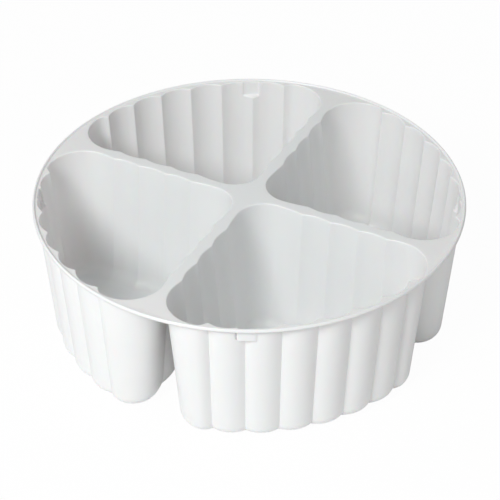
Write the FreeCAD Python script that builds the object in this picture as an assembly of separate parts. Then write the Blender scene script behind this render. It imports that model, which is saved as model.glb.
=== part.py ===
"""Round four-compartment tray, thermoformed from one plastic sheet.

The sheet hangs from a flat round deck with a beaded rim. The bars of a cross divide the
deck into four pockets, one in each quadrant, and every pocket is a leg of its own below
the deck. The walls are fluted and drafted, and run into a flat floor through a round in
which the flutes grow shallower.

Frame: the bars lie along X and Y, +Z is up, and the origin is the centre of the plane
that the four floors stand on. Every pocket is worked out in the quadrant of +X and +Y
and turned about Z.
"""
import FreeCAD, Part
import math
import os

Vector = FreeCAD.Vector
ORIGIN = Vector(0, 0, 0)
UP = Vector(0, 0, 1)

# Driving dimensions, in millimetres and degrees. Wall places are those of the upper
# skin at the top of the deck.
RIM_RADIUS = 95.0          # outside of the rim
DECK_HEIGHT = 64.3         # standing plane to the top of the deck
SHEET = 0.5                # thickness of the formed sheet
POCKETS = 4

BAR_HALF_WIDTH = 2.2       # bar's centre line to the crests of a straight wall
CREST_RADIUS = 92.8        # crests of the curved wall
DRAFT = 4.75
INNER_CORNER = 13.0        # corner radius in plan, beside the tray's centre
OUTER_CORNER = 16.0        # corner radius in plan, between straight and curved wall

STRAIGHT_FLUTES = 3        # whole flutes on each straight wall
STRAIGHT_FLUTE_DEPTH = 1.1
CURVED_FLUTES = 6          # whole flutes on the curved wall
CURVED_FLUTE_DEPTH = 2.4
INNER_LAND = 12.4          # inner corner to the first ridge of a straight wall
OUTER_LAND = 7.4           # last ridge of a straight wall to the outer corner
CURVED_LAND = 4.4          # outer corner to the first ridge of the curved wall

FLOOR_ROUND = 5.5          # radius between wall and floor, on the upper skin
ROUND_BANDS = 1            # ruled bands that make up the round
FLUTE_FADE = 2.0           # power of the flutes' fading through the round
FLOOR_SHARE = 0.8          # part of the flutes' depth left at the floor

BEAD_WIDTH = 1.8
BEAD_HEIGHT = 0.7
LIP_DROP = 1.0             # rim's cut edge below the top of the deck

INNER_PARTS = 14           # faces across an inner corner, an outer corner and a flute
OUTER_PARTS = 16
STRAIGHT_PARTS = 1
CURVED_PARTS = 1

PULL = 1.0                 # how far cutting bodies reach past what they cut


def polar(radius, angle):
    return Vector(radius * math.cos(angle), radius * math.sin(angle), 0)


def bulge(start, end, heading):
    """Height over its chord of the arc that leaves start along heading and meets end."""
    run = end - start
    return run.Length / 2 * math.tan(run.getAngle(heading) / 2)


class Plan:
    """Crest lines and corner radii of one pocket, lean inside the wall at the top of the deck."""

    def __init__(self, lean):
        self.crest = BAR_HALF_WIDTH + lean
        self.rim_crest = CREST_RADIUS - lean
        self.inner_radius = INNER_CORNER - lean
        self.outer_radius = OUTER_CORNER - lean


# The corners keep their centres at every depth, and the ridges stand in between.
SLOPE = math.tan(math.radians(DRAFT))
INNER_FOOT = BAR_HALF_WIDTH + INNER_CORNER
HEAD_ANGLE = math.asin((BAR_HALF_WIDTH + OUTER_CORNER) / (CREST_RADIUS - OUTER_CORNER))
OUTER_FOOT = (CREST_RADIUS - OUTER_CORNER) * math.cos(HEAD_ANGLE)
FIRST_RIDGE = INNER_FOOT + INNER_LAND
STRAIGHT_PITCH = (OUTER_FOOT - OUTER_LAND - FIRST_RIDGE) / STRAIGHT_FLUTES
FIRST_BEARING = HEAD_ANGLE + CURVED_LAND / CREST_RADIUS
CURVED_PITCH = (math.pi / 2 - 2 * FIRST_BEARING) / CURVED_FLUTES


STRAIGHT_SIDE = [1] + [STRAIGHT_PARTS] * STRAIGHT_FLUTES + [1]
PARTS = STRAIGHT_SIDE + [OUTER_PARTS, 1] + [CURVED_PARTS] * CURVED_FLUTES
PARTS += [1, OUTER_PARTS] + STRAIGHT_SIDE[::-1] + [INNER_PARTS]


def flute_depth(depth, half_pitch, turn, offset):
    """Depth of the flutes of a skin that lies offset outside one with the given depth."""
    lean = 2 * math.atan2(depth, half_pitch) - turn
    return depth - offset * (1 / math.cos(lean) - 1)


def outline(lean, offset, share):
    """Corner points of a pocket's plan with the height of the arc after each.

    The points run anticlockwise from the inner corner, and share is the part of the
    flutes' depth that is left.
    """
    plan = Plan(lean)
    half_pitch = STRAIGHT_PITCH / 2
    straight_depth = share * flute_depth(STRAIGHT_FLUTE_DEPTH, half_pitch, 0, offset)
    half_turn = CURVED_PITCH / 2
    curved_depth = share * flute_depth(CURVED_FLUTE_DEPTH, CREST_RADIUS * math.sin(half_turn),
                                       -half_turn, offset)
    ridge = plan.crest + straight_depth
    ridge_radius = plan.rim_crest - curved_depth

    start = Vector(INNER_FOOT, plan.crest, 0)
    ridges = [Vector(FIRST_RIDGE + number * STRAIGHT_PITCH, ridge, 0)
              for number in range(STRAIGHT_FLUTES + 1)]
    foot = Vector(OUTER_FOOT, plan.crest, 0)
    head = polar(plan.rim_crest, HEAD_ANGLE)
    curved = [polar(ridge_radius, FIRST_BEARING + number * CURVED_PITCH)
              for number in range(CURVED_FLUTES + 1)]

    side = [start] + ridges + [foot, head]
    side_heights = [bulge(start, ridges[0], Vector(1, 0, 0))]
    side_heights += [straight_depth] * STRAIGHT_FLUTES
    side_heights.append(bulge(foot, ridges[-1], Vector(-1, 0, 0)))
    side_heights.append(plan.outer_radius * (1 - math.cos((math.pi / 2 + HEAD_ANGLE) / 2)))
    side_heights.append(bulge(head, curved[0], polar(1, HEAD_ANGLE + math.pi / 2)))
    curved_height = curved_depth + ridge_radius * (1 - math.cos(half_turn))
    points = side + curved + [Vector(p.y, p.x, 0) for p in reversed(side)]
    heights = side_heights + [curved_height] * CURVED_FLUTES + side_heights[::-1]
    heights.append(plan.inner_radius * (1 - math.cos(math.pi / 4)))
    return points, heights


def arcs(z, points, heights):
    """Poles and middle weight of every arc of an outline at height z.

    Each arc is divided into as many equal ones as PARTS says.
    """
    spans = []
    lift = Vector(0, 0, z)
    for start, end, height, parts in zip(points, points[1:] + points[:1], heights, PARTS):
        run = end - start
        half_angle = 2 * math.atan2(height, run.Length / 2)
        side = Vector(run.y, -run.x, 0).normalize()
        if parts == 1:
            shoulder = (start + end) / 2 + side * (run.Length / 2 * math.tan(half_angle))
            spans.append(([start + lift, shoulder + lift, end + lift], math.cos(half_angle)))
            continue
        radius = run.Length / 2 / math.sin(half_angle)
        centre = (start + end) / 2 - side * (radius * math.cos(half_angle))
        bearing = math.atan2(start.y - centre.y, start.x - centre.x)
        step = half_angle / parts
        for part in range(parts):
            poles = [centre + polar(reach, bearing + turns * step) + lift
                     for reach, turns in ((radius, 2 * part), (radius / math.cos(step), 2 * part + 1),
                                          (radius, 2 * part + 2))]
            spans.append((poles, math.cos(step)))
    return spans


def ruled(above, below):
    """Face ruled between two arcs."""
    (upper, upper_weight), (lower, lower_weight) = above, below
    surface = Part.BSplineSurface()
    surface.buildFromPolesMultsKnots([upper, lower], [2, 2], [3, 3], [0, 1], [0, 1], False,
                                     False, 1, 2, [[1, upper_weight, 1], [1, lower_weight, 1]])
    return surface.toShape()


def edge(span):
    """Edge along one arc."""
    poles, weight = span
    curve = Part.BezierCurve()
    curve.setPoles(poles)
    curve.setWeight(2, weight)
    return curve.toShape()


def flat(spans):
    """Flat face inside a closed run of arcs."""
    return Part.Face(Part.Wire([edge(span) for span in spans]))


def levels(offset, top_z, floor_z):
    """Sections of one skin from top_z down the wall and round to the edge of the floor."""
    radius = FLOOR_ROUND + offset
    wall_end = floor_z + radius * (1 - math.sin(math.radians(DRAFT)))
    sections = [arcs(top_z, *outline((DECK_HEIGHT - top_z) * SLOPE - offset, offset, 1))]
    for band in range(ROUND_BANDS + 1):
        angle = math.radians(DRAFT + (90 - DRAFT) * band / ROUND_BANDS)
        z = floor_z + radius * (1 - math.sin(angle))
        inward = radius * (math.cos(math.radians(DRAFT)) - math.cos(angle))
        share = 1 - (1 - FLOOR_SHARE) * (band / ROUND_BANDS) ** FLUTE_FADE
        lean = (DECK_HEIGHT - wall_end) * SLOPE - offset + inward
        sections.append(arcs(z, *outline(lean, offset, share)))
    return sections


def pocket_body(offset, top_z, floor_z):
    """Solid inside one skin of a pocket, closed at the floor and at top_z."""
    sections = levels(offset, top_z, floor_z)
    faces = [flat(sections[0]), flat(sections[-1])]
    for above, below in zip(sections, sections[1:]):
        faces += [ruled(*spans) for spans in zip(above, below)]
    shell = Part.makeShell(faces)
    shell.sewShape()
    return Part.makeSolid(shell)


def deck_plate():
    """Flat deck with its bead and turned-down lip, before the pockets are let in."""
    profile = [(0, DECK_HEIGHT - SHEET), (RIM_RADIUS - BEAD_WIDTH, DECK_HEIGHT - SHEET),
               (RIM_RADIUS, DECK_HEIGHT - LIP_DROP),
               (RIM_RADIUS - BEAD_WIDTH / 4, DECK_HEIGHT + BEAD_HEIGHT),
               (RIM_RADIUS - BEAD_WIDTH, DECK_HEIGHT), (0, DECK_HEIGHT)]
    corners = [Vector(r, 0, z) for r, z in profile]
    face = Part.Face(Part.makePolygon(corners + corners[:1]))
    return face.revolve(ORIGIN, UP, 360)


def around(shape):
    """The shape once in each quadrant."""
    copies = []
    for number in range(POCKETS):
        copy = shape.copy()
        copy.rotate(ORIGIN, UP, number * 360 / POCKETS)
        copies.append(copy)
    return copies


def tray():
    """The deck with four legs joined on and hollowed out from above."""
    mid_sheet = DECK_HEIGHT - SHEET / 2
    leg = pocket_body(SHEET, mid_sheet, 0)
    top = DECK_HEIGHT + BEAD_HEIGHT + PULL
    hollow = pocket_body(0, top, SHEET)
    return deck_plate().fuse(around(leg)).cut(around(hollow))


os.makedirs("parts", exist_ok=True)
tray().Solids[0].exportStep("parts/tray.step")
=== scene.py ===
"""White thermoformed tray with four fluted compartments, on a white studio floor."""

import math

import bmesh
import bpy
import numpy as np
from bpy.props import FloatProperty, FloatVectorProperty, IntProperty, PointerProperty
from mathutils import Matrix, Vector


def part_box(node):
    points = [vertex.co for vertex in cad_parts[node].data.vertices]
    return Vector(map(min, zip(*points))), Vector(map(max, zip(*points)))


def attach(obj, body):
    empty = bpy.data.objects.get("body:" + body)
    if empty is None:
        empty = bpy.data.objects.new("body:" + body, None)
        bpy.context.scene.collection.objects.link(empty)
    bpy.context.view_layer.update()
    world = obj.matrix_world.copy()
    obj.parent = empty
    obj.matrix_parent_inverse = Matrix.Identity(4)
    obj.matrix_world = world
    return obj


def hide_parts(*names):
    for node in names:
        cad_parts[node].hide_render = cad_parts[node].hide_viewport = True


bl_info = {
    "name": "Thermoformed tray",
    "version": (1, 0, 0),
    "blender": (4, 5, 0),
    "location": "View3D > Sidebar > Tray",
    "description": "Builds a round fluted compartment tray and its studio",
    "category": "Object",
}

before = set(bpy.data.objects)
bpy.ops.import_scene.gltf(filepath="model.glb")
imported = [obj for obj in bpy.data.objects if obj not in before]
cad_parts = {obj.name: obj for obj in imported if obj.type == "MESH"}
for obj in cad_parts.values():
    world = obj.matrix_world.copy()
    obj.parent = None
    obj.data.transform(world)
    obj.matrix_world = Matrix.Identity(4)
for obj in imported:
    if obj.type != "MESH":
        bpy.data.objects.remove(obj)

MM = 0.001
RIGHT_ANGLE = math.pi / 2
COMPARTMENTS = 4
COLLECTION = "Tray"

LUG_BLEND = 0.9 * MM       # width over which the lug's sides and ledge are rounded
FLOOR_RIM = 1.2 * MM       # flat ring inside the floor round
RIM_SHARE = 0.3            # part of the floor's flutes left at the inside of that ring
BEAD_CROWN = 0.55          # bead's crown, as a part of its width
BEAD_TURN = 0.3 * MM       # how far the bead's outside turns down below the deck
LIP_CLEARANCE = 0.1 * MM   # cut edge above the full drop, which keeps the skin in the box
CREST_GAP = 0.05 * MM      # least width of deck between a crest and the bead
WELD = 0.02 * MM
SLIVER = 0.005 * MM

# Points round the corners, beside each ridge and over the bead.
OUTER_POINTS, INNER_POINTS = 25, 23
RIDGE_POINTS, RIDGE_REACH = 5, 0.6
CROWN_POINTS, SHOULDER_POINTS = 9, 8

# Rows of points from the bead to the floor. The lug's ledge has close ones.
DECK_PARTS = (0.0, 0.4, 0.8)
BEND_ROWS = 6
UPPER_DROPS = (2.0 * MM, 4.0 * MM)
LEDGE_ROWS, LEDGE_REACH = 7, 1.0 * MM
WALL_ROWS, WALL_START = 5, 3.0 * MM
FLOOR_ROWS = 11

# Places of the lights and their sizes, in rim radii.
KEY_PLACE, KEY_SIZE = (-1.0, -9.3, 8.6), 4.0
FILL_PLACE, FILL_SIZE = (9.0, -3.0, 6.0), 9.0
AIM_HEIGHT = 0.3
FLOOR_SIDE = 60
FLOOR_GAP = 0.1 * MM
FLOOR_GLOW = 0.97
SENSOR = 36
FAR_CLIP = 100
FRAME_SHIFT = (0.0014, -0.115)


# ---------------------------------------------------------------- settings

def millimetres(name, value, description):
    """A length setting, with its default in millimetres."""
    return FloatProperty(name=name, description=description, default=value * MM,
                         unit="LENGTH", precision=5)


def degrees(name, value, description):
    """An angle setting, with its default in degrees."""
    return FloatProperty(name=name, description=description, default=math.radians(value),
                         subtype="ANGLE", unit="ROTATION")


def colour(name, value, description):
    """A colour setting."""
    return FloatVectorProperty(name=name, description=description, default=value,
                               subtype="COLOR", size=3, min=0, max=1)


class TraySettings(bpy.types.PropertyGroup):
    """Shape of the formed sheet. Places are those of the upper skin at the top of the deck."""
    bar_half_width: millimetres("Bar half width", 2.2, "Bar's middle to a straight wall's crests")
    crest_inset: millimetres("Crest inset", 2.2, "Rim to the crests of the curved wall")
    draft: degrees("Draft", 4.75, "Lean of the walls")
    inner_corner: millimetres("Inner corner", 13.0, "Corner radius beside the tray's centre")
    outer_corner: millimetres("Outer corner", 16.0, "Corner radius beside the rim")
    straight_flutes: IntProperty(name="Straight flutes", default=3,
                                 description="Whole flutes on each straight wall")
    straight_depth: millimetres("Straight flute depth", 1.1, "Ridge to crest on a straight wall")
    curved_flutes: IntProperty(name="Curved flutes", default=6,
                               description="Whole flutes on each curved wall")
    curved_depth: millimetres("Curved flute depth", 2.4, "Ridge to crest on a curved wall")
    inner_land: millimetres("Inner land", 12.4, "Inner corner to the first ridge")
    outer_land: millimetres("Outer land", 7.4, "Last ridge to the outer corner")
    curved_land: millimetres("Curved land", 4.4, "Outer corner to the curved wall's first ridge")
    ridge_blend: millimetres("Ridge rounding", 0.7, "Width over which a ridge is rounded")
    floor_round: millimetres("Floor round", 6.5, "Radius between wall and floor")
    floor_share: FloatProperty(name="Flutes at the floor", default=0.45, subtype="FACTOR",
                               description="Part of the flutes' depth left at the floor")
    deck_bend: millimetres("Deck bend", 0.55, "Radius between deck and wall")
    bead_width: millimetres("Bead width", 1.5, "Width of the raised bead at the rim")
    bead_height: millimetres("Bead height", 0.7, "Bead's crown above the deck")
    lip_drop: millimetres("Lip drop", 0.9, "Deck to the rim's cut edge")
    sheet: millimetres("Sheet", 0.5, "Thickness of the sheet")
    lug_ridge: IntProperty(name="Lug ridge", default=1,
                           description="Ridge that carries the lug, counted from the first")
    lug_width: millimetres("Lug width", 7.6, "Width of the stacking lug")
    lug_shift: millimetres("Lug shift", 0.8, "Middle of the lug past its ridge")
    lug_drop: millimetres("Lug height", 7.0, "Deck to the lug's ledge")
    lug_standout: millimetres("Lug standout", 0.1, "Lug's face outside the crests")
    dark_colour: colour("Darker white", (0.875, 0.875, 0.875), "Darker colour of the sheet's mottle")
    light_colour: colour("Lighter white", (0.91, 0.91, 0.91), "Lighter colour of the mottle")


class StudioSettings(bpy.types.PropertyGroup):
    """Camera and light of the studio."""
    azimuth: degrees("Azimuth", 27.0, "Direction that the camera looks in")
    elevation: degrees("Elevation", 35.335, "Camera above the horizon")
    distance: FloatProperty(name="Distance", default=8.694,
                            description="Deck's centre to the camera, in rim radii")
    lens: FloatProperty(name="Lens", default=135.3, unit="CAMERA",
                        description="Focal length of the camera")
    key_power: FloatProperty(name="Key light", default=8.2, unit="POWER",
                             description="Power of the key light")
    fill_power: FloatProperty(name="Fill light", default=0.2, unit="POWER",
                              description="Power of the fill light")
    sky: FloatProperty(name="Sky", default=0.40, description="Strength of the even light all round")
    floor_colour: colour("Floor", (0.92, 0.92, 0.92), "Colour of the floor where the tray shades it")


# ---------------------------------------------------------------- shader sockets

class Socket:
    """A shader output, or a constant, that can be used in sums and products."""

    def __init__(self, graph, value):
        self.graph = graph
        self.value = value

    def _math(self, operation, other):
        node = self.graph.tree.nodes.new("ShaderNodeMath")
        node.operation = operation
        self.graph.feed(node.inputs[0], self)
        self.graph.feed(node.inputs[1], other)
        return Socket(self.graph, node.outputs[0])

    def __add__(self, other):
        return self._math("ADD", other)

    __radd__ = __add__

    def __mul__(self, other):
        return self._math("MULTIPLY", other)

    __rmul__ = __mul__


class Graph:
    """Node tree of one material."""

    def __init__(self, name):
        self.material = bpy.data.materials.new(name)
        self.material.use_nodes = True
        self.tree = self.material.node_tree
        self.tree.nodes.clear()

    def feed(self, slot, value):
        if isinstance(value, Socket):
            value = value.value
        if isinstance(value, bpy.types.NodeSocket):
            self.tree.links.new(value, slot)
        else:
            slot.default_value = value

    def add(self, kind, settings=None, output=0, **inputs):
        """New node of a kind, with its settings, and its inputs by name."""
        node = self.tree.nodes.new("ShaderNode" + kind)
        for name, value in (settings or {}).items():
            setattr(node, name, value)
        for name, value in inputs.items():
            self.feed(node.inputs[name.replace("_", " ")], value)
        return Socket(self, node.outputs[output])

    def noise(self, where, scale, detail):
        return self.add("TexNoise", Vector=where, Scale=scale, Detail=detail)

    def blend(self, factor, first, second):
        """Colour between two, by factor."""
        node = self.tree.nodes.new("ShaderNodeMix")
        node.data_type = "RGBA"
        self.feed(node.inputs[0], factor)
        self.feed(node.inputs[6], first)
        self.feed(node.inputs[7], second)
        return Socket(self, node.outputs[2])

    def finish(self, surface):
        """The material, with that surface."""
        out = self.tree.nodes.new("ShaderNodeOutputMaterial")
        self.feed(out.inputs["Surface"], surface)
        return self.material


def sheet_material(settings):
    """Opaque white polystyrene sheet with a soft gloss, a faint mottle and fine forming lines."""
    graph = Graph("white sheet")
    where = graph.add("TexCoord", output=3)
    mottle = graph.noise(where, scale=38.0, detail=3.0)
    specks = graph.noise(where, scale=900.0, detail=2.0)
    waves = graph.noise(where, scale=150.0, detail=2.0)
    white = graph.blend(mottle, (*settings.dark_colour, 1), (*settings.light_colour, 1))
    roughness = 0.27 + mottle * 0.12 + specks * 0.05
    height = waves * 0.6 + specks * 0.12
    bump = graph.add("Bump", Strength=0.10, Distance=0.0004, Height=height)
    surface = graph.add("BsdfPrincipled", Base_Color=white, Roughness=roughness, Normal=bump,
                        IOR=1.5, Subsurface_Weight=0.12, Subsurface_Scale=0.002)
    return graph.finish(surface)


def floor_material(settings):
    """White floor that shows only a trace of the tray's shadow."""
    graph = Graph("studio floor")
    seen = graph.add("LightPath")
    lit = graph.add("BsdfDiffuse", Color=(*settings.floor_colour, 1))
    glow = graph.add("Emission", Color=(1, 1, 1, 1), Strength=1.0)
    node = graph.tree.nodes.new("ShaderNodeMixShader")
    graph.feed(node.inputs[0], seen * FLOOR_GLOW)
    graph.feed(node.inputs[1], lit)
    graph.feed(node.inputs[2], glow)
    return graph.finish(node.outputs[0])


# ---------------------------------------------------------------- plan of a compartment

def smooth(value):
    """Eases from 0 to 1 as value does, and holds outside that."""
    value = np.clip(value, 0, 1)
    return value * value * (3 - 2 * value)


def polar(radius, angle):
    """Points at a radius and an angle."""
    return np.stack([radius * np.cos(angle), radius * np.sin(angle)], axis=-1)


class Plan:
    """Outline of the compartment in the quadrant of +X and +Y, at any depth, in metres."""

    SPACING = 0.0015     # between points along the straight and curved walls
    WINDOW = 7           # samples that a ridge is averaged over

    def __init__(self, settings, rim_radius, deck):
        self.bar = settings.bar_half_width
        self.crest_radius = rim_radius - settings.crest_inset
        self.deck = deck
        self.inner = settings.inner_corner
        self.outer = settings.outer_corner
        self.straight_depth = settings.straight_depth
        self.curved_depth = settings.curved_depth
        self.blend = settings.ridge_blend
        self.foot = self.bar + self.inner
        reach = self.crest_radius - self.outer
        self.head = math.asin((self.bar + self.outer) / reach)
        self.outer_foot = reach * math.cos(self.head)
        self.first = self.foot + settings.inner_land
        self.last = self.outer_foot - settings.outer_land
        self.pitch = (self.last - self.first) / settings.straight_flutes
        self.first_bearing = self.head + settings.curved_land / self.crest_radius
        self.turn = (RIGHT_ANGLE - 2 * self.first_bearing) / settings.curved_flutes
        self.lug_bearing = (self.first_bearing + settings.lug_ridge * self.turn
                            + settings.lug_shift / self.crest_radius)
        self.lug_half = settings.lug_width / 2
        self.lug_drop = settings.lug_drop
        self.lug_standout = settings.lug_standout
        self.layout()

    def layout(self):
        """Splits the outline into walls and corners, and says where each point joins the deck."""
        ridges = np.arange(self.first, self.last + self.pitch / 2, self.pitch)
        self.along = self.spread(self.foot, self.outer_foot, ridges, 1)
        self.outer_turn = np.linspace(-RIGHT_ANGLE, self.head, OUTER_POINTS)[1:-1]
        end = RIGHT_ANGLE - self.head
        ridges = np.arange(self.first_bearing, end, self.turn)
        sides = self.lug_bearing + np.array([-1, 1]) * self.lug_half / self.crest_radius
        bearing = self.spread(self.head, end, np.concatenate([ridges, sides]), self.crest_radius)
        half = bearing[bearing <= RIGHT_ANGLE / 2]
        other = RIGHT_ANGLE - bearing[bearing >= RIGHT_ANGLE / 2]
        half = np.unique(np.round(np.concatenate([half, other]), 5))
        half[0] = self.head
        self.bearing = np.concatenate([half, RIGHT_ANGLE - half[::-1]])
        self.inner_turn = np.linspace(math.pi, 1.5 * math.pi, INNER_POINTS)[1:-1]

    def spread(self, low, high, ridges, radius):
        """Even places from low to high, and closer ones beside every ridge."""
        count = int((high - low) * radius / self.SPACING)
        close = self.blend / radius
        even = np.linspace(low, high, count + 1)
        gap = np.min(np.abs(even[:, None] - ridges[None, :]), axis=1)
        even = even[(gap > close) | (even == low) | (even == high)]
        steps = close * np.linspace(-RIDGE_REACH, RIDGE_REACH, RIDGE_POINTS)
        beside = (ridges[:, None] + steps[None, :]).ravel()
        return np.sort(np.concatenate([even, beside]))

    def straight_depths(self, x):
        """Depth of the flutes at x along a straight wall."""
        half = self.pitch / 2
        radius = (half ** 2 + self.straight_depth ** 2) / (2 * self.straight_depth)
        flute = np.clip(np.floor((x - self.first) / self.pitch), 0, None)
        swing = x - self.first - (flute + 0.5) * self.pitch
        depth = radius - np.sqrt(np.maximum(radius ** 2 - swing ** 2, 0))
        before = self.straight_depth * np.clip((x - self.foot) / (self.first - self.foot), 0, 1) ** 2
        after = self.straight_depth * np.clip(
            (self.outer_foot - x) / (self.outer_foot - self.last), 0, 1) ** 2
        return np.where(x < self.first, before, np.where(x > self.last, after, depth))

    def curved_depths(self, bearing):
        """Depth of the flutes at a bearing on the curved wall."""
        half = self.turn / 2
        ridge = self.crest_radius - self.curved_depth
        rise = self.crest_radius - ridge * math.cos(half)
        chord = ridge * math.sin(half)
        radius = (chord ** 2 + rise ** 2) / (2 * rise)
        centre = self.crest_radius - radius
        from_middle = np.abs(bearing - RIGHT_ANGLE / 2)
        end = RIGHT_ANGLE / 2 - self.first_bearing
        flute = np.floor((bearing - self.first_bearing) / self.turn)
        swing = bearing - self.first_bearing - (flute + 0.5) * self.turn
        reach = centre * np.cos(swing) + np.sqrt(
            np.maximum(radius ** 2 - (centre * np.sin(swing)) ** 2, 0))
        land = self.first_bearing - self.head
        ending = self.curved_depth * np.clip((end + land - from_middle) / land, 0, 1) ** 2
        return np.where(from_middle > end, ending, self.crest_radius - reach)

    def averaged(self, depths, places, width, low, high):
        """Depths averaged over width, which rounds the ridges."""
        total = 0
        for shift in np.linspace(-width / 2, width / 2, self.WINDOW):
            total = total + depths(places + shift)
        ease = smooth(np.minimum(places - low, high - places) / width)
        return ease * total / self.WINDOW + (1 - ease) * depths(places)

    def outline(self, lean, share, z):
        """Points of the outline that leans inward by lean, with that share of the flutes' depth."""
        depth = share * self.averaged(self.straight_depths, self.along, self.blend,
                                      self.foot, self.outer_foot)
        side = np.stack([self.along, self.bar + lean + depth], axis=-1)
        corner = self.crest_radius - self.outer
        centre = polar(corner, self.head)
        outer = centre + polar(self.outer - lean, self.outer_turn)
        width = self.blend / self.crest_radius
        depth = share * self.averaged(self.curved_depths, self.bearing, width,
                                      self.head, RIGHT_ANGLE - self.head)
        across = np.abs(self.bearing - self.lug_bearing) * self.crest_radius
        mask = (smooth((self.lug_half - across) / LUG_BLEND + 0.5)
                * smooth((z - (self.deck - self.lug_drop)) / LUG_BLEND + 0.5))
        depth = depth * (1 - mask) - self.lug_standout * mask
        curved = polar(self.crest_radius - lean - depth, self.bearing)
        inner = self.foot + polar(self.inner - lean, self.inner_turn)
        half = np.concatenate([side, outer])
        return np.concatenate([half, curved, half[::-1, ::-1], inner])

    def border(self, ring):
        """Where each point of the outline meets the edge of its quadrant of the deck."""
        along = self.along.copy()
        side = np.stack([along, np.zeros_like(along)], axis=-1)
        turn = (self.outer_turn + RIGHT_ANGLE) / (self.head + RIGHT_ANGLE)
        middle = 0.5
        outward = self.outer_foot + (ring - self.outer_foot) * turn / middle
        rim_bearing = self.head * (turn - middle) / (1 - middle)
        outer = np.where((turn <= middle)[:, None],
                         np.stack([outward, np.zeros_like(turn)], axis=-1),
                         polar(ring, np.maximum(rim_bearing, 0)))
        outer[np.argmin(np.abs(turn - middle))] = (ring, 0)
        curved = polar(ring, self.bearing)
        swing = (self.inner_turn - math.pi) / RIGHT_ANGLE
        inner = np.where((swing <= 0.5)[:, None],
                         np.stack([0 * swing, self.foot * (1 - 2 * swing)], axis=-1),
                         np.stack([self.foot * (2 * swing - 1), 0 * swing], axis=-1))
        inner[np.abs(inner) < 1e-9] = 0
        half = np.concatenate([side, outer])
        return np.concatenate([half, curved, half[::-1, ::-1], inner])


# ---------------------------------------------------------------- the sheet

def levels(settings, plan, top, bottom):
    """(lean, share, height) of every row of points from the deck down to the floor."""
    draft = settings.draft
    slope = math.tan(draft)
    bend = settings.deck_bend
    setback = bend * math.tan((RIGHT_ANGLE - draft) / 2)
    rows = []
    for part in np.linspace(0, 1, BEND_ROWS):
        angle = part * (RIGHT_ANGLE - draft)
        rows.append((-setback + bend * math.sin(angle), 1.0, top - bend * (1 - math.cos(angle))))
    floor_round = settings.floor_round
    wall_end = bottom + floor_round * (1 - math.sin(draft))
    ledge = top - settings.lug_drop
    heights = [top - drop for drop in UPPER_DROPS]
    heights += list(np.linspace(ledge + LEDGE_REACH, ledge - LEDGE_REACH, LEDGE_ROWS))
    heights += list(np.linspace(ledge - WALL_START, wall_end, WALL_ROWS))
    rows += [((top - z) * slope, 1.0, z) for z in heights]
    for part in np.linspace(0, 1, FLOOR_ROWS)[1:]:
        angle = draft + part * (RIGHT_ANGLE - draft)
        inward = floor_round * (math.cos(draft) - math.cos(angle))
        share = 1 - (1 - settings.floor_share) * part ** 2
        rows.append(((top - wall_end) * slope + inward, share,
                     bottom + floor_round * (1 - math.sin(angle))))
    lean, share, z = rows[-1]
    rows.append((lean + FLOOR_RIM, share * RIM_SHARE, bottom))
    return rows


def rim_profile(settings, rim_radius, top):
    """(radius, height) of the rim, from the bead's inner foot over its crown to the cut edge."""
    width = settings.bead_width
    height = settings.bead_height
    foot = rim_radius - width
    points = []
    for part in np.linspace(0, 1, CROWN_POINTS):
        points.append((foot + BEAD_CROWN * width * part, top + height * smooth(part)))
    for part in np.linspace(0, 1, SHOULDER_POINTS)[1:]:
        angle = part * RIGHT_ANGLE
        points.append((foot + BEAD_CROWN * width + (1 - BEAD_CROWN) * width * math.sin(angle),
                       top + height - (height + BEAD_TURN) * (1 - math.cos(angle))))
    points.append((rim_radius, top - settings.lip_drop + LIP_CLEARANCE))
    return points


def sheet_mesh(settings, low, high):
    """Upper skin of the tray as a mesh, between the low and high corners of its box."""
    rim_radius = (high[0] - low[0]) / 2
    top = high[2] - settings.bead_height
    bottom = low[2] + settings.sheet
    plan = Plan(settings, rim_radius, top)
    ring = rim_radius - settings.bead_width
    border = plan.border(ring)
    rows = levels(settings, plan, top, bottom)
    loops = []
    first = plan.outline(rows[0][0], rows[0][1], rows[0][2])
    # the crests run close to the bead, so the deck's inner edge never passes it
    reach = np.linalg.norm(first, axis=1)
    limit = ring - CREST_GAP
    first = first * np.minimum(1, limit / reach)[:, None]
    for part in DECK_PARTS:
        ground = border + (first - border) * part
        loops.append(np.column_stack([ground, np.full(len(ground), top)]))
    for number, (lean, share, z) in enumerate(rows):
        ground = first if number == 0 else plan.outline(lean, share, z)
        loops.append(np.column_stack([ground, np.full(len(ground), z)]))

    count = len(border)
    vertices = []
    faces = []
    at_ring = np.abs(np.linalg.norm(border, axis=1) - ring) < 1e-7
    profile = rim_profile(settings, rim_radius, top)
    for quarter in range(COMPARTMENTS):
        start = len(vertices)
        turn = quarter * RIGHT_ANGLE
        spin = np.array([[math.cos(turn), -math.sin(turn)], [math.sin(turn), math.cos(turn)]])
        for loop in loops:
            points = loop.copy()
            points[:, :2] = points[:, :2] @ spin.T
            vertices += points.tolist()
        for row in range(len(loops) - 1):
            for column in range(count):
                after = (column + 1) % count
                a, b = start + row * count + column, start + row * count + after
                faces.append((a, b, b + count, a + count))
        last = start + (len(loops) - 1) * count
        faces.append(tuple(range(last, last + count)))
        run = [column for column in range(count) if at_ring[column]]
        bearings = [math.atan2(border[column][1], border[column][0]) + turn for column in run]
        rings = [[start + column for column in run]]
        for radius, z in profile[1:]:
            rings.append(list(range(len(vertices), len(vertices) + len(run))))
            vertices += [(radius * math.cos(b), radius * math.sin(b), z) for b in bearings]
        for inner, outer in zip(rings, rings[1:]):
            for step in range(len(run) - 1):
                faces.append((inner[step], outer[step], outer[step + 1], inner[step + 1]))

    mesh = bpy.data.meshes.new("tray_sheet")
    mesh.from_pydata(vertices, [], faces)
    mesh.validate()
    return mesh


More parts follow.
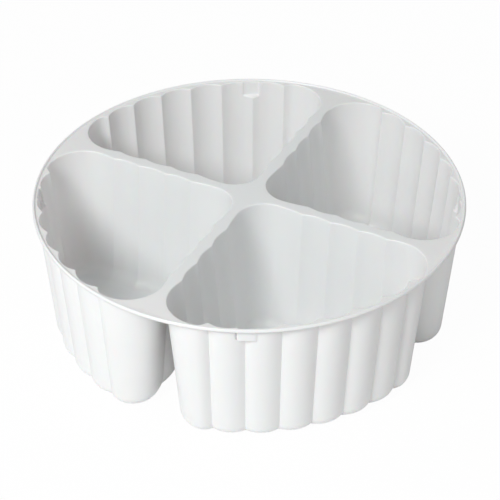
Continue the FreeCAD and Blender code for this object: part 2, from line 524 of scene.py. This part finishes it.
def close_up(mesh):
    """Welds the quadrants together and turns every face up."""
    work = bmesh.new()
    work.from_mesh(mesh)
    bmesh.ops.remove_doubles(work, verts=work.verts, dist=WELD)
    bmesh.ops.dissolve_degenerate(work, edges=work.edges, dist=SLIVER)
    bmesh.ops.recalc_face_normals(work, faces=work.faces)
    upward = sum(face.normal.z * face.calc_area() for face in work.faces)
    if upward < 0:
        bmesh.ops.reverse_faces(work, faces=work.faces)
    work.to_mesh(mesh)
    work.free()
    for polygon in mesh.polygons:
        polygon.use_smooth = True


def place(obj):
    """Links an object into the tray's own collection."""
    collection = bpy.data.collections.get(COLLECTION)
    if collection is None:
        collection = bpy.data.collections.new(COLLECTION)
        bpy.context.scene.collection.children.link(collection)
    collection.objects.link(obj)
    return obj


# ---------------------------------------------------------------- operators

class TRAY_OT_sheet(bpy.types.Operator):
    """Builds the tray from its settings, inside the CAD tray's box"""
    bl_idname = "tray.sheet"
    bl_label = "Formed sheet"

    def execute(self, context):
        settings = context.scene.tray_settings
        low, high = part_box("tray")
        mesh = sheet_mesh(settings, low, high)
        close_up(mesh)
        tray = place(bpy.data.objects.new("tray_sheet", mesh))
        solidify = tray.modifiers.new("thickness", "SOLIDIFY")
        solidify.thickness = settings.sheet
        solidify.offset = -1
        solidify.use_even_offset = True
        solidify.use_rim = True
        mesh.materials.append(sheet_material(settings))
        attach(tray, "root")
        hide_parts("tray")
        return {"FINISHED"}


class TRAY_OT_studio(bpy.types.Operator):
    """Builds the floor, the lights and the camera"""
    bl_idname = "tray.studio"
    bl_label = "Studio"

    def execute(self, context):
        settings = context.scene.studio_settings
        low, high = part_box("tray")
        radius = (high[0] - low[0]) / 2
        self.floor(settings, radius, low[2])
        self.world(context.scene, settings)
        self.lamp("key light", KEY_PLACE, radius, KEY_SIZE, settings.key_power)
        self.lamp("fill light", FILL_PLACE, radius, FILL_SIZE, settings.fill_power)
        self.camera(context.scene, settings, radius, high[2])
        return {"FINISHED"}

    def floor(self, settings, radius, z):
        mesh = bpy.data.meshes.new("studio floor")
        side = FLOOR_SIDE * radius
        z -= FLOOR_GAP
        mesh.from_pydata([(-side, -side, z), (side, -side, z), (side, side, z), (-side, side, z)],
                         [], [(0, 1, 2, 3)])
        mesh.materials.append(floor_material(settings))
        place(bpy.data.objects.new("studio_floor", mesh))

    def world(self, scene, settings):
        world = bpy.data.worlds.new("studio sky")
        world.use_nodes = True
        tree = world.node_tree
        background = tree.nodes["Background"]
        background.inputs["Color"].default_value = (1.0, 1.0, 1.0, 1)
        background.inputs["Strength"].default_value = settings.sky
        scene.world = world

    def lamp(self, name, where, radius, size, power):
        """Square soft light at a place given in rim radii, aimed at the tray."""
        light = bpy.data.lights.new(name, "AREA")
        light.shape = "SQUARE"
        light.size = size * radius
        light.energy = power
        lamp = place(bpy.data.objects.new(name, light))
        lamp.location = Vector(where) * radius
        aim = Vector((0, 0, AIM_HEIGHT * radius)) - lamp.location
        lamp.rotation_euler = aim.to_track_quat("-Z", "Y").to_euler()

    def camera(self, scene, settings, radius, top):
        azimuth = settings.azimuth - RIGHT_ANGLE
        elevation = settings.elevation
        outward = Vector((math.cos(azimuth) * math.cos(elevation),
                          math.sin(azimuth) * math.cos(elevation), math.sin(elevation)))
        data = bpy.data.cameras.new("camera")
        data.lens = settings.lens
        data.sensor_width = SENSOR
        data.shift_y = FRAME_SHIFT[1]
        data.shift_x = FRAME_SHIFT[0]
        data.clip_end = FAR_CLIP
        camera = place(bpy.data.objects.new("camera", data))
        camera.location = Vector((0, 0, top)) + outward * settings.distance * radius
        camera.rotation_euler = (-outward).to_track_quat("-Z", "Y").to_euler()
        scene.camera = camera


class TRAY_PT_panel(bpy.types.Panel):
    """Settings of the tray and its studio, and the operators that build them"""
    bl_label = "Thermoformed tray"
    bl_idname = "TRAY_PT_panel"
    bl_space_type = "VIEW_3D"
    bl_region_type = "UI"
    bl_category = "Tray"

    def draw(self, context):
        for group, operator in ((context.scene.tray_settings, TRAY_OT_sheet),
                                (context.scene.studio_settings, TRAY_OT_studio)):
            for name in group.__annotations__:
                self.layout.prop(group, name)
            self.layout.operator(operator.bl_idname)


CLASSES = (TraySettings, StudioSettings, TRAY_OT_sheet, TRAY_OT_studio, TRAY_PT_panel)


def register():
    for cls in CLASSES:
        bpy.utils.register_class(cls)
    bpy.types.Scene.tray_settings = PointerProperty(type=TraySettings)
    bpy.types.Scene.studio_settings = PointerProperty(type=StudioSettings)


def unregister():
    del bpy.types.Scene.tray_settings
    del bpy.types.Scene.studio_settings
    for cls in reversed(CLASSES):
        bpy.utils.unregister_class(cls)


def main():
    register()
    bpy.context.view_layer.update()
    bpy.ops.tray.sheet()
    bpy.ops.tray.studio()
    bpy.context.scene.view_settings.view_transform = "Standard"


if __name__ == "__main__":
    main()
